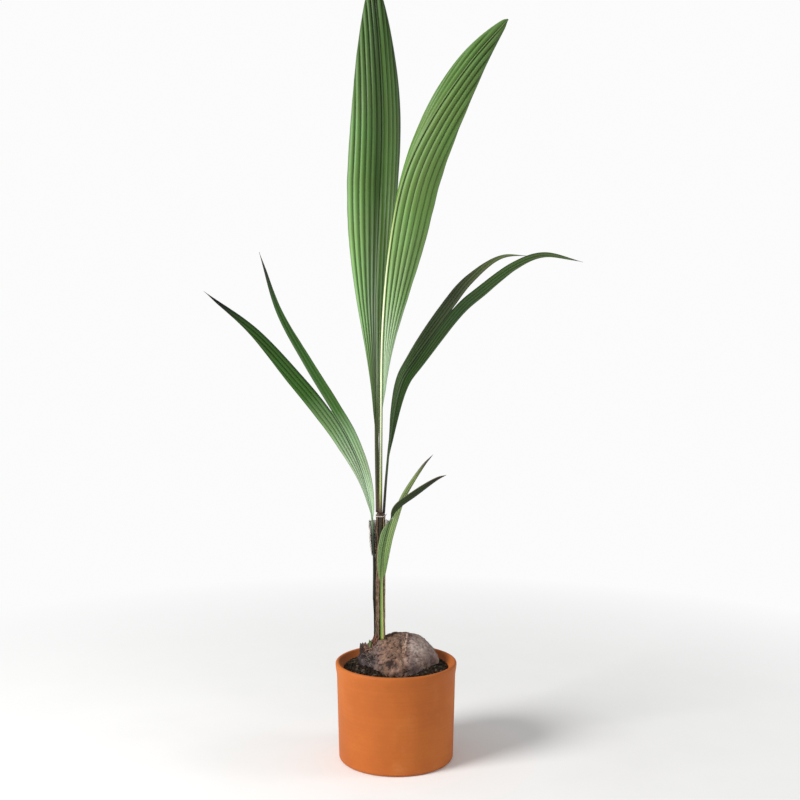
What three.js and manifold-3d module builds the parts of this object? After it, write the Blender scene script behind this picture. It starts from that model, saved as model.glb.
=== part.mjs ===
// Young coconut palm growing from its nut in a clay pot.
// Millimetres, +Z up, +Y away from the front. The origin is at the middle of
// the pot's underside, and the plant faces -Y.
import * as THREE from 'three';
import Module from 'manifold-3d';
import { mergeVertices } from 'three/addons/utils/BufferGeometryUtils.js';

const wasm = await Module();
wasm.setup();

// ---------- driving sizes ----------
const clearance = 0.35;            // gap kept between touching pieces

const pot = {
  height: 162.5, rimRadius: 100, neckRadius: 97.7, footRadius: 94.5,
  footRound: 6, innerRadius: 86.5, innerFootRadius: 82, floor: 10,
  beadHeight: 24, rimRound: 3.5, shoulder: 152, segments: 48,
  holes: 3, holeRadius: 6, holeCircle: 45,
};
const soil = { top: 151.5, crown: 3, segments: 36 };
const nut = {
  centre: [4.5, 18, 148], radii: [67, 56, 57],
  ridges: 3, ridgeDepth: 0.035, ridgeTurn: 0.5, taper: 0.06, across: 24, along: 15,
};
const flap = { centre: [-53, 13], width: 15, thick: 10, bottom: 150, top: 188, lean: 3 };
const stem = {
  foot: 172, top: 406, centreFoot: [-27.5, 16], centreTop: [-25.5, 16],
  widthFoot: 8.6, widthTop: 7.6, depthFoot: 9.6, depthTop: 9.2, sides: 16, steps: 10,
};
const fibre = {
  bottom: 334, top: 394, radiusBottom: 11, radiusTop: 19, centreTop: [-27, 19],
  from: -8, to: 188, thick: 1.2, across: 12, steps: 5,
};

// A leaf: its rib through a few points from the stem outwards, then two half
// blades, one on each side of the rib. Where a half has a lobe of its own, its
// inner edge leaves the rib's end and runs through the lobe's points.
// width    widest reach from the rib
// start    where the blade begins, as a share of the way from base to tip
// peak     where it is widest
// rise     how slowly it widens; fall: how bluntly it ends
// turn     degrees that the half is turned back from facing the front, at base and tip
// turnLate how late along the leaf that turn changes
// curl     degrees that it curves across its width, at base and tip
// pinch    where, over what share of the length and how much a half narrows
const leaves = [
  {
    name: 'tall_left', ribRadius: [3, 0.9],
    rib: [[-30, 19, 407], [-32, 20, 527], [-32, 23, 617], [-32, 28, 757],
      [-25, 36, 920], [-22, 42, 1051], [-27, 50, 1166], [-37, 62, 1283]],
    halves: {
      left: {
        side: -1, width: 59, start: 0.08, peak: 0.61, rise: 2.5, fall: 0.75,
        turn: [-25, -12], turnLate: 3, curl: [60, 26],
      },
      right: {
        side: 1, width: 54, start: 0.08, peak: 0.61, rise: 1.8, fall: 0.7,
        turn: [70, 36], turnLate: 3, curl: [36, 26],
      },
    },
  },
  {
    name: 'tall_right', ribRadius: [3.2, 0.9],
    rib: [[-26, 11, 407], [-24.7, 9, 561], [-22, 6, 708], [-10.5, 1, 837],
      [11.5, -6, 948], [52.5, -12, 1037], [114, -20, 1126], [176, -30, 1195]],
    halves: {
      left: {
        side: -1, width: 41, start: 0.2, peak: 0.54, rise: 1.4, fall: 0.65,
        turn: [135, 6], turnLate: 2.2, curl: [12, 20],
      },
      right: {
        side: 1, width: 60, start: 0.17, peak: 0.61, rise: 2, fall: 1,
        turn: [16, 20], turnLate: 2, curl: [40, 30],
      },
    },
  },
  {
    name: 'left_frond', ribRadius: [1.9, 0.8],
    rib: [[-36.4, 12, 262], [-36.6, 10, 334], [-42, -2, 414], [-55, -10, 474],
      [-79, -20, 534], [-104, -28, 579]],
    halves: {
      low: {
        side: -1, width: 26, start: 0.28, peak: 0.58, rise: 1.4, fall: 1.1, turn: [-32, -20], turnLate: 1, curl: [14, 14],
        lobe: [[-147, -38, 634], [-219, -54, 712], [-300, -68, 770]],
      },
      high: {
        side: 1, width: 18, start: 0.28, peak: 0.55, rise: 0.9, fall: 1, turn: [-32, -20], turnLate: 1, curl: [14, 14],
        lobe: [[-148, -36, 654], [-190, -47, 737], [-215, -54, 831]],
      },
    },
  },
  {
    name: 'right_frond', ribRadius: [2.4, 0.8],
    rib: [[-19, 20, 407], [-15, 24, 473], [-8, 30, 542], [8, 40, 616], [35, 50, 661], [94, 70, 741]],
    halves: {
      long: {
        side: 1, width: 18, start: 0.16, peak: 0.66, rise: 1.5, fall: 1, turn: [36, 20], turnLate: 1, curl: [14, 14],
        lobe: [[138, 82, 780], [198, 98, 822], [254, 112, 839], [321, 126, 823]],
      },
      short: {
        side: -1, width: 20, start: 0.18, peak: 0.66, rise: 1.6, fall: 2, turn: [36, 20], turnLate: 1, curl: [14, 14],
        lobe: [[131, 86, 788], [180, 104, 827], [240, 124, 833]],
      },
    },
  },
  {
    name: 'small_leaf', ribRadius: [3, 0.9],
    rib: [[-23.5, 3.6, 203], [-23.8, 3.4, 285], [-22.5, 2, 330], [-17.5, -0.8, 364], [-7, -4, 399]],
    halves: {
      light: {
        side: 1, width: 9, start: 0.3, peak: 0.5, rise: 0.7, fall: 0.7, turn: [8, 8], turnLate: 1, curl: [10, 10],
        lobe: [[8.5, -7, 440], [39, -11, 486], [59.5, -14, 507]],
      },
      dark: {
        side: -1, width: 10.5, start: 0.3, peak: 0.78, rise: 0.5, fall: 0.8, turn: [-18, -24], turnLate: 1,
        curl: [10, 10], pinch: { at: 0.62, over: 0.05, by: 0.85 },
        lobe: [[7.2, -13, 419], [33, -20, 439], [64.6, -32, 465], [81, -38, 476]],
      },
    },
  },
];
const blade = { thick: 2.4, marginThick: 1.2, across: 4, steps: 20, leastWidth: 1.2 };
const rod = { sides: 8, steps: 14 };

// ---------- colours ----------
const finishes = {
  clay: [0xc9623a, 0.8], earth: [0x33291f, 0.95], husk: [0x6f5a4b, 0.9],
  stalk: [0x6f5a35, 0.7], fibre: [0x8d857c, 0.95], leaf: [0x3f7a34, 0.45],
  frond: [0x2c5f26, 0.4], rib: [0x93b84e, 0.5],
};
const material = (key) => {
  const [color, roughness] = finishes[key];
  return new THREE.MeshStandardMaterial({ color, roughness, metalness: 0 });
};

// ---------- helpers ----------
const mix = (a, b, t) => a + (b - a) * t;
const radians = THREE.MathUtils.degToRad;

function closedMesh(points, triangles) {
  const geometry = new THREE.BufferGeometry();
  geometry.setAttribute('position', new THREE.Float32BufferAttribute(points.flat(), 3));
  geometry.setIndex(triangles.flat());
  if (signedVolume(geometry) < 0) {
    geometry.setIndex(triangles.map(([a, b, c]) => [a, c, b]).flat());
  }
  geometry.computeVertexNormals();
  return geometry;
}

function signedVolume(geometry) {
  const place = geometry.getAttribute('position');
  const index = geometry.getIndex();
  const corners = [new THREE.Vector3(), new THREE.Vector3(), new THREE.Vector3()];
  let volume = 0;
  for (let i = 0; i < index.count; i += 3) {
    corners.forEach((corner, k) => corner.fromBufferAttribute(place, index.getX(i + k)));
    volume += corners[0].dot(corners[1].clone().cross(corners[2])) / 6;
  }
  return volume;
}

// Skin over a row of rings that all have the same even number of points. Each
// end is closed by strips between the first half of its ring and the second.
function loft(rings) {
  const count = rings[0].length;
  const last = (rings.length - 1) * count;
  const triangles = [];
  const quad = (a, b, c, d) => triangles.push([a, b, c], [a, c, d]);
  for (let row = 0; row < rings.length - 1; row += 1) {
    for (let i = 0; i < count; i += 1) {
      const next = (i + 1) % count;
      quad(row * count + i, row * count + next, (row + 1) * count + next, (row + 1) * count + i);
    }
  }
  for (let i = 0; i < count / 2 - 1; i += 1) {
    const far = count - 1 - i;
    quad(i, far, far - 1, i + 1);
    quad(last + i, last + i + 1, last + far - 1, last + far);
  }
  return closedMesh(rings.flat(), triangles.filter(([a, b, c]) => a !== b && b !== c && a !== c));
}

function solid(geometry) {
  const bare = geometry.clone();
  bare.deleteAttribute('normal');
  bare.deleteAttribute('uv');
  const merged = mergeVertices(bare, 1e-4);
  const triVerts = Uint32Array.from(merged.getIndex().array);
  const vertProperties = Float32Array.from(merged.getAttribute('position').array);
  return new wasm.Manifold(new wasm.Mesh({ numProp: 3, vertProperties, triVerts }));
}

function meshOf(manifold) {
  const { vertProperties, triVerts } = manifold.getMesh();
  const geometry = new THREE.BufferGeometry();
  geometry.setAttribute('position', new THREE.BufferAttribute(vertProperties, 3));
  geometry.setIndex(new THREE.BufferAttribute(triVerts, 1));
  geometry.computeVertexNormals();
  return geometry;
}

const cut = (geometry, ...others) => meshOf(
  others.reduce((rest, other) => rest.subtract(solid(other)), solid(geometry)),
);

function lathe(profile, segments) {
  const points = profile.map(([radius, height]) => new THREE.Vector2(radius, height));
  return new THREE.LatheGeometry(points, segments).rotateX(Math.PI / 2);
}

function arc(centreX, centreY, radius, fromDegrees, toDegrees, steps) {
  return Array.from({ length: steps + 1 }, (unused, i) => {
    const angle = radians(mix(fromDegrees, toDegrees, i / steps));
    return [centreX + radius * Math.cos(angle), centreY + radius * Math.sin(angle)];
  });
}

// ---------- pot and soil ----------
function potSolid() {
  const { height, footRound, rimRound, beadHeight } = pot;
  const rimCentre = pot.rimRadius - rimRound;
  const profile = [
    [0, 0],
    ...arc(pot.footRadius - footRound, footRound, footRound, -90, 0, 4),
    [pot.neckRadius, height - beadHeight],
    [mix(pot.neckRadius, pot.rimRadius, 0.75), height - 0.7 * beadHeight],
    ...arc(rimCentre, height - rimRound, rimRound, 0, 135, 6),
    [pot.innerRadius, pot.shoulder],
    [pot.innerFootRadius, pot.floor],
    [0, pot.floor],
  ];
  const holes = Array.from({ length: pot.holes }, (unused, i) => {
    const angle = (2 * Math.PI * i) / pot.holes;
    return new THREE.CylinderGeometry(pot.holeRadius, pot.holeRadius, 3 * pot.floor, 12)
      .rotateX(Math.PI / 2)
      .translate(pot.holeCircle * Math.cos(angle), pot.holeCircle * Math.sin(angle), 0);
  });
  return cut(lathe(profile, pot.segments), ...holes);
}

function soilSolid() {
  const wallRadius = (z) => mix(
    pot.innerFootRadius, pot.innerRadius,
    (z - pot.floor) / (pot.shoulder - pot.floor),
  ) - 2 * clearance;
  const bottom = pot.floor + clearance;
  const body = lathe([
    [0, bottom], [wallRadius(bottom), bottom], [wallRadius(soil.top), soil.top],
    [0.5 * wallRadius(soil.top), soil.top + soil.crown], [0, soil.top + soil.crown],
  ], soil.segments);
  return cut(body, nutShape(clearance), flapShape(clearance));
}

// ---------- nut and its torn husk ----------
function nutShape(swell) {
  const shape = mergeVertices(bareSphere());
  const place = shape.getAttribute('position');
  const point = new THREE.Vector3();
  for (let i = 0; i < place.count; i += 1) {
    point.fromBufferAttribute(place, i);
    const round = Math.atan2(point.z, point.y) + nut.ridgeTurn;
    const girth = Math.hypot(point.y, point.z);
    const bulge = 1 + nut.ridgeDepth * girth * Math.cos(nut.ridges * round) - nut.taper * point.x * girth;
    const [rx, ry, rz] = nut.radii.map((radius) => radius + swell);
    place.setXYZ(
      i, nut.centre[0] + rx * point.x,
      nut.centre[1] + ry * bulge * point.y, nut.centre[2] + rz * bulge * point.z,
    );
  }
  return shape;
}

function bareSphere() {
  const sphere = new THREE.SphereGeometry(1, nut.across, nut.along).rotateZ(Math.PI / 2);
  sphere.deleteAttribute('normal');
  sphere.deleteAttribute('uv');
  return sphere;
}

function flapShape(swell) {
  const rows = [[flap.bottom, 0.8], [mix(flap.bottom, flap.top, 0.6), 1], [flap.top - 3, 1], [flap.top, 0.7]];
  return loft(rows.map(([z, share], row) => {
    const lean = flap.lean * (row / (rows.length - 1));
    return Array.from({ length: 8 }, (unused, i) => {
      const angle = (2 * Math.PI * i) / 8 + Math.PI / 8;
      return [
        flap.centre[0] - lean + (flap.width * 0.54 * share + swell) * Math.cos(angle),
        flap.centre[1] + (flap.thick * 0.54 * share + swell) * Math.sin(angle),
        z + (z === flap.top ? swell : 0) - (z === flap.bottom ? swell : 0),
      ];
    });
  }));
}

// ---------- stem and fibre sheath ----------
function stemRing(z, swell) {
  const t = (z - stem.foot) / (stem.top - stem.foot);
  const [x, y] = [0, 1].map((k) => mix(stem.centreFoot[k], stem.centreTop[k], t));
  const flare = 1 + 0.12 * Math.exp(-(z - stem.foot) / 30);
  const width = mix(stem.widthFoot, stem.widthTop, t) * flare + swell;
  const depth = mix(stem.depthFoot, stem.depthTop, t) * flare + swell;
  return Array.from({ length: stem.sides }, (unused, i) => {
    const angle = (2 * Math.PI * i) / stem.sides;
    return [x + width * Math.cos(angle), y + depth * Math.sin(angle), z];
  });
}

const stemSolid = (swell = 0) => loft(Array.from({ length: stem.steps + 1 }, (unused, i) => (
  stemRing(mix(stem.foot - swell, stem.top + swell, i / stem.steps), swell)
)));

function fibreSolid() {
  const ring = (t) => {
    const radius = mix(fibre.radiusBottom, fibre.radiusTop, Math.sqrt(t));
    const x = mix(stem.centreTop[0] - 0.4, fibre.centreTop[0], t);
    const y = mix(stem.centreTop[1], fibre.centreTop[1], t);
    const z = mix(fibre.bottom, fibre.top, t);
    const outer = arc(x, y, radius, fibre.from, fibre.to, fibre.across);
    const inner = arc(x, y, radius - fibre.thick, fibre.to, fibre.from, fibre.across);
    return [...outer, ...inner].map(([px, py]) => [px, py, z]);
  };
  return loft(Array.from({ length: fibre.steps + 1 }, (unused, i) => ring(i / fibre.steps)));
}

// ---------- leaves ----------
const smooth = (points) => new THREE.CatmullRomCurve3(
  points.map((point) => new THREE.Vector3(...point)), false, 'catmullrom', 0.5,
);

// Directions at a point of a leaf: along it, across it to its right as seen
// from the front, and away from the front.
function frameAt(curve, t) {
  const along = curve.getTangentAt(t);
  const back = new THREE.Vector3(0, 1, 0).addScaledVector(along, -along.y).normalize();
  const across = back.clone().cross(along).normalize();
  return { centre: curve.getPointAt(t), along, back, across };
}

function ribSolid(leaf) {
  const curve = smooth(leaf.rib);
  const ring = (t) => {
    const { centre, back, across } = frameAt(curve, t);
    const radius = mix(leaf.ribRadius[0], leaf.ribRadius[1], t);
    return Array.from({ length: rod.sides }, (unused, i) => {
      const angle = (2 * Math.PI * i) / rod.sides;
      return centre.clone()
        .addScaledVector(across, radius * Math.cos(angle))
        .addScaledVector(back, radius * Math.sin(angle)).toArray();
    });
  };
  return loft(Array.from({ length: rod.steps + 1 }, (unused, i) => ring(i / rod.steps)));
}

function reach(half, t) {
  const inward = THREE.MathUtils.clamp((t - half.start) / (half.peak - half.start), 0, 1);
  const outward = THREE.MathUtils.clamp((t - half.peak) / (1 - half.peak), 0, 1);
  const share = Math.sin((Math.PI / 2) * inward) ** half.rise
    * Math.cos((Math.PI / 2) * outward) ** half.fall;
  const { at, over, by } = half.pinch ?? { at: 0, over: 1, by: 0 };
  const squeeze = 1 - by * Math.exp(-(((t - at) / over) ** 2));
  return Math.max(blade.leastWidth, half.width * share * squeeze);
}

function bladeSolid(leaf, half) {
  const curve = smooth([...leaf.rib, ...(half.lobe ?? [])]);
  const ribShare = smooth(leaf.rib).getLength() / curve.getLength();
  const ring = (t) => {
    const { centre, along, back, across } = frameAt(curve, t);
    const ribRadius = mix(leaf.ribRadius[0], leaf.ribRadius[1], Math.min(1, t / ribShare));
    const turn = mix(half.turn[0], half.turn[1], t ** half.turnLate);
    const curl = mix(half.curl[0], half.curl[1], t ** half.turnLate);
    const outwards = (u) => {
      const angle = radians(turn + curl * (u - 0.5));
      return across.clone().multiplyScalar(half.side * Math.cos(angle))
        .addScaledVector(back, Math.sin(angle));
    };
    const front = [];
    const rear = [];
    const place = centre.clone().addScaledVector(outwards(0), ribRadius + blade.thick / 2);
    for (let i = 0; i <= blade.across; i += 1) {
      const u = i / blade.across;
      const normal = along.clone().cross(outwards(u)).normalize();
      const halfThick = mix(blade.thick, blade.marginThick, u) / 2;
      front.push(place.clone().addScaledVector(normal, halfThick).toArray());
      rear.unshift(place.clone().addScaledVector(normal, -halfThick).toArray());
      place.addScaledVector(outwards(u + 0.5 / blade.across), reach(half, t) / blade.across);
    }
    return [...front, ...rear];
  };
  return loft(Array.from({ length: blade.steps + 1 }, (unused, i) => (
    ring(mix(half.start, 1, i / blade.steps))
  )));
}

// ---------- assembly ----------
const group = new THREE.Group();
function add(name, geometry, finish) {
  const mesh = new THREE.Mesh(geometry, material(finish));
  mesh.name = name;
  group.add(mesh);
}

add('pot', potSolid(), 'clay');
add('soil', soilSolid(), 'earth');
add('coconut', cut(nutShape(0), flapShape(clearance), stemSolid(clearance)), 'husk');
add('husk_flap', flapShape(0), 'husk');
add('stem', stemSolid(), 'stalk');
add('fibre_sheath', fibreSolid(), 'fibre');
for (const leaf of leaves) {
  const bladeFinish = leaf.name.startsWith('tall') ? 'leaf' : 'frond';
  add(`${leaf.name}_rib`, ribSolid(leaf), 'rib');
  for (const [name, half] of Object.entries(leaf.halves)) {
    add(`${leaf.name}_${name}_half`, bladeSolid(leaf, half), bladeFinish);
  }
}

export default group;
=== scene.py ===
import math
import random
from bisect import bisect_right
import bpy
from mathutils import Matrix, Vector, noise


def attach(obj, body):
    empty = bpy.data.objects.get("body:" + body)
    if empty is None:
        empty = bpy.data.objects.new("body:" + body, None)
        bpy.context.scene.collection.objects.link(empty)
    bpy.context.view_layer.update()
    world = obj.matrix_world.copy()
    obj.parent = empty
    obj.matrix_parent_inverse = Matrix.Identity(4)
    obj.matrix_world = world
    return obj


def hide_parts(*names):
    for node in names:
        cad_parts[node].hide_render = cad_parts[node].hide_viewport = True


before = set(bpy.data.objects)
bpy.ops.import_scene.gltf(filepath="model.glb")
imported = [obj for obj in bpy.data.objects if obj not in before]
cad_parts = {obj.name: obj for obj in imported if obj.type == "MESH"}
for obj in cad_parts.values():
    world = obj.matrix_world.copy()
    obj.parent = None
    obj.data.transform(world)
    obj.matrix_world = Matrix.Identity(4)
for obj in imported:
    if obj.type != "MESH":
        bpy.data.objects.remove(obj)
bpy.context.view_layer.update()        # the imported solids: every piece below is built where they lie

mm = 0.001
dice = random.Random(7)


def mix(a, b, share):
    return a + (b - a) * share


def clamp(value, low=0.0, high=1.0):
    return max(low, min(high, value))


def ease(low, high, value):  # 0 below low, 1 above high, smooth between
    share = clamp((value - low) / (high - low))
    return share * share * (3 - 2 * share)


def hump(value, middle, width):  # 1 at the middle, falling smoothly to 0 on both sides
    return math.exp(-((value - middle) / width) ** 2)


def mixEach(a, b, share):
    return tuple(mix(x, y, share) for x, y in zip(a, b))


def ripple(x, y, z):  # smooth noise, about -1 to 1
    return noise.noise(Vector((x, y, z)))


def paint(red, green, blue):  # a 0-255 display colour as the linear one that shaders take
    levels = [level / 255 for level in (red, green, blue)]
    linear = [x / 12.92 if x <= 0.04045 else ((x + 0.055) / 1.055) ** 2.4 for x in levels]
    return (*linear, 1)


# Modelling helpers

def clearSelection():
    if bpy.context.object and bpy.context.object.mode != "OBJECT":
        bpy.ops.object.mode_set(mode="OBJECT")
    bpy.ops.object.select_all(action="DESELECT")


def pickOnly(piece):
    clearSelection()
    piece.select_set(True)
    bpy.context.view_layer.objects.active = piece


def applyModifier(piece, kind, **settings):
    pickOnly(piece)
    modifier = piece.modifiers.new(kind, kind)
    for name, value in settings.items():
        setattr(modifier, name, value)
    bpy.ops.object.modifier_apply(modifier=modifier.name)


def mergeAndTurnOut(piece, gap=0.00001):
    pickOnly(piece)
    bpy.ops.object.mode_set(mode="EDIT")
    bpy.ops.mesh.select_all(action="SELECT")
    bpy.ops.mesh.remove_doubles(threshold=gap)
    bpy.ops.mesh.normals_make_consistent(inside=False)
    bpy.ops.object.mode_set(mode="OBJECT")


def joinPieces(pieces):
    clearSelection()
    for piece in pieces:
        piece.select_set(True)
    bpy.context.view_layer.objects.active = pieces[0]
    if len(pieces) > 1:
        bpy.ops.object.join()
    return pieces[0]


def shapePoints(piece, placeOf):  # moves every point of a mesh to placeOf(its place)
    for point in piece.data.vertices:
        point.co = placeOf(point.co)
    piece.data.update()


def addValues(piece, name, values):  # one number a point, for the materials
    layer = piece.data.attributes.new(name, "FLOAT", "POINT")
    layer.data.foreach_set("value", values)


def drawRods(rods, rounding=1):  # each rod is a row of (place, radius)
    bpy.ops.curve.primitive_nurbs_path_add(location=(0, 0, 0))
    piece = bpy.context.object
    curve = piece.data
    curve.splines.clear()
    for rod in rods:
        spline = curve.splines.new("POLY")
        spline.points.add(len(rod) - 1)
        for point, (place, radius) in zip(spline.points, rod):
            point.co = (*place, 1)
            point.radius = radius / mm
    curve.dimensions = "3D"
    curve.bevel_depth = mm
    curve.bevel_resolution = rounding
    curve.use_fill_caps = True
    pickOnly(piece)
    bpy.ops.object.convert(target="MESH")
    piece = bpy.context.object
    mergeAndTurnOut(piece)
    return piece


def thinningRod(placeOf, thick, loss, shares=(0, 0.2, 0.4, 0.6, 0.8, 1)):
    return [(placeOf(s) * mm, thick * (1 - loss * s) * mm) for s in shares]


def sprayCopies(pattern, places, materials):  # one mesh with a copy of pattern at each place
    points = []
    faces = []
    picks = []
    patternFaces = [tuple(face.vertices) for face in pattern.data.polygons]
    for place in places:
        first = len(points)
        points += [place @ point.co for point in pattern.data.vertices]
        faces += [tuple(first + i for i in face) for face in patternFaces]
        picks += [dice.randrange(len(materials))] * len(patternFaces)
    pickOnly(pattern)
    pattern.data.clear_geometry()
    pattern.data.from_pydata(points, [], faces)
    pattern.data.materials.clear()
    for material in materials:
        pattern.data.materials.append(material)
    pattern.data.polygons.foreach_set("material_index", picks)
    pattern.data.update()
    return pattern


def finishPiece(piece, name, material, nodes=(), smooth=True):
    pickOnly(piece)
    bpy.ops.object.transform_apply(location=True, rotation=True, scale=True)
    if smooth:
        bpy.ops.object.shade_smooth()
    if material:
        piece.data.materials.clear()
        piece.data.materials.append(material)
    piece.name = name
    piece.data.name = name
    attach(piece, "root")
    if nodes:
        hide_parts(*nodes)
    return piece


# Shader helpers

def newMaterial(name):  # with its shader and the object's own coordinates
    material = bpy.data.materials.new(name)
    material.use_nodes = True
    tree = material.node_tree
    return material, tree, tree.nodes["Principled BSDF"], objectPlace(tree)


def addNode(tree, kind, inputs, **settings):
    made = tree.nodes.new("ShaderNode" + kind)
    for name, value in settings.items():
        setattr(made, name, value)
    for name, value in inputs.items():
        if isinstance(value, bpy.types.NodeSocket):
            tree.links.new(value, made.inputs[name])
        else:
            made.inputs[name].default_value = value
    return made


def calc(tree, operation, a, b=0.0, c=0.0):
    return addNode(tree, "Math", {0: a, 1: b, 2: c}, operation=operation).outputs[0]


def times(tree, a, b):
    return calc(tree, "MULTIPLY", a, b)


def plus(tree, a, b):
    return calc(tree, "ADD", a, b)


def remap(tree, value, fromLow, fromHigh, toLow, toHigh):
    inputs = {0: value, 1: fromLow, 2: fromHigh, 3: toLow, 4: toHigh}
    return addNode(tree, "MapRange", inputs).outputs[0]


def swing(tree, pattern, low, high):  # a noise pattern turned into values from low to high
    return remap(tree, pattern, 0.3, 0.7, low, high)


def blend(tree, share, a, b, way="MIX"):
    inputs = {0: share, 6: a, 7: b}
    return addNode(tree, "Mix", inputs, data_type="RGBA", blend_type=way).outputs[2]


def ramp(tree, value, stops):  # stops are (share, display colour)
    made = addNode(tree, "ValToRGB", {0: value})
    elements = made.color_ramp.elements
    while len(elements) < len(stops):
        elements.new(0.5)
    for element, (share, tint) in zip(elements, stops):
        element.position = share
        element.color = paint(*tint)
    return made.outputs[0]


def speckle(tree, vector, scale, detail=3.0, rough=0.55):
    inputs = {"Vector": vector, "Scale": scale, "Detail": detail, "Roughness": rough}
    return addNode(tree, "TexNoise", inputs).outputs[0]


def streaks(tree, vector, scale, detail=3.0, rough=0.55):  # a noise scaled by axis, so it is drawn out
    drawnOut = addNode(tree, "Mapping", {"Vector": vector, "Scale": scale}).outputs[0]
    return speckle(tree, drawnOut, 1.0, detail, rough)


def valueOf(tree, name):  # a number that the mesh carries
    return addNode(tree, "Attribute", {}, attribute_name=name).outputs["Fac"]


def objectPlace(tree):
    return addNode(tree, "TexCoord", {}).outputs["Object"]


def shade(tree, tint, value, hue=0.5, saturation=1.0):
    inputs = {"Color": tint, "Value": value, "Hue": hue, "Saturation": saturation}
    return addNode(tree, "HueSaturation", inputs).outputs[0]


def relief(tree, height, strength, distance, under=None):
    inputs = {"Height": height, "Strength": strength, "Distance": distance}
    if under:
        inputs["Normal"] = under
    return addNode(tree, "Bump", inputs).outputs[0]


def wire(tree, shader, sockets):
    for name, value in sockets.items():
        if isinstance(value, bpy.types.NodeSocket):
            tree.links.new(value, shader.inputs[name])
        else:
            shader.inputs[name].default_value = value


def setFinish(tree, shader, tone, rough, bumps, gloss=0.5):
    sockets = {"Base Color": tone, "Roughness": rough, "Normal": bumps, "Specular IOR Level": gloss}
    wire(tree, shader, sockets)


def strandMaterial(name, dark, pale, scale=60.0):
    material, tree, shader, place = newMaterial(name)
    tone = ramp(tree, speckle(tree, place, scale, 4.0, 0.7), [(0.35, dark), (0.65, pale)])
    setFinish(tree, shader, tone, 0.8, relief(tree, speckle(tree, place, 900.0), 0.3, 0.0003), 0.25)
    return material


def makeStrands(rods, rounding, name, dark, pale, scale):
    piece = drawRods(rods, rounding)
    finishPiece(piece, name, strandMaterial(name, dark, pale, scale))


# Camera, floor and light

camera = {"place": (0.0065, -1.9845, 0.740), "down": 4.2, "lens": 55}
studio = {
    "floorSize": 12, "fadeFrom": 0.4, "fadeTo": 1.4, "ambient": 0.4, "backdrop": 0.97,
    "key": {"place": (-2.35, -1.5, 1.9), "aim": (0, 0, 0.6), "size": 1.4, "power": 112},
    "fill": {"place": (2.5, -0.2, 1.5), "aim": (0, 0, 0.5), "size": 1.2, "power": 14},
}


def softLight(name, light):
    place = Vector(light["place"])
    aim = (Vector(light["aim"]) - place).to_track_quat("-Z", "Y").to_euler()
    bpy.ops.object.light_add(type="AREA", location=place, rotation=aim)
    lamp = bpy.context.object
    lamp.name = name
    lamp.data.shape = "DISK"
    lamp.data.size = light["size"]
    lamp.data.energy = light["power"]


def makeStudio():
    clearSelection()
    tilt = (math.radians(90 - camera["down"]), 0, 0)
    bpy.ops.object.camera_add(location=camera["place"], rotation=tilt)
    view = bpy.context.object
    view.data.lens = camera["lens"]
    view.data.sensor_width = 36
    bpy.context.scene.camera = view
    softLight("keyLight", studio["key"])
    softLight("fillLight", studio["fill"])
    bpy.ops.mesh.primitive_circle_add(vertices=96, radius=studio["floorSize"], fill_type="NGON")
    floor = bpy.context.object
    floor.name = "studioFloor"
    material, tree, shader, place = newMaterial("paleFloor")
    grain = speckle(tree, place, 6.0)
    away = addNode(tree, "VectorMath", {0: place}, operation="LENGTH").outputs["Value"]
    glow = remap(tree, away, studio["fadeFrom"], studio["fadeTo"], 0, 1)  # pales away into the backdrop
    wire(tree, shader, {
        "Base Color": blend(tree, glow, ramp(tree, grain, [(0, (243, 242, 240)), (1, (250, 249, 247))]),
                            (0, 0, 0, 1)),
        "Emission Color": (1, 1, 1, 1),
        "Emission Strength": times(tree, glow, studio["backdrop"]),
        "Roughness": 0.9, "Specular IOR Level": 0.0,
    })
    floor.data.materials.append(material)
    world = bpy.data.worlds.new("studioWorld")
    bpy.context.scene.world = world
    world.use_nodes = True
    tree = world.node_tree
    around = tree.nodes["Background"]
    around.inputs["Color"].default_value = (0.97, 0.985, 1, 1)
    around.inputs["Strength"].default_value = studio["ambient"]
    seen = addNode(tree, "Background", {"Color": (1, 1, 1, 1), "Strength": studio["backdrop"]})
    rays = addNode(tree, "LightPath", {})
    both = addNode(tree, "MixShader", {0: rays.outputs["Is Camera Ray"],
                                       1: around.outputs[0], 2: seen.outputs[0]})
    tree.links.new(both.outputs[0], tree.nodes["World Output"].inputs["Surface"])
    bpy.context.scene.view_settings.view_transform = "Standard"
    print("studio ready")


makeStudio()


# Pot: a straight-sided clay pot with a rounded bead at the rim and a rounded foot

pot = {
    "height": 162.5, "rimRadius": 100, "neckRadius": 97.7, "footRadius": 94.5,
    "footRound": 6, "innerRadius": 86.5, "innerFootRadius": 82, "floor": 10,
    "beadHeight": 24, "rimRound": 3.5, "shoulder": 152, "sides": 128, "roundSteps": 8,
    "holes": 3, "holeRadius": 6, "holeCircle": 45,
}


def arcPoints(centreRadius, centreHeight, radius, fromDegrees, toDegrees):
    points = []
    for i in range(pot["roundSteps"] + 1):
        angle = math.radians(mix(fromDegrees, toDegrees, i / pot["roundSteps"]))
        points.append((centreRadius + radius * math.cos(angle), centreHeight + radius * math.sin(angle)))
    return points


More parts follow.
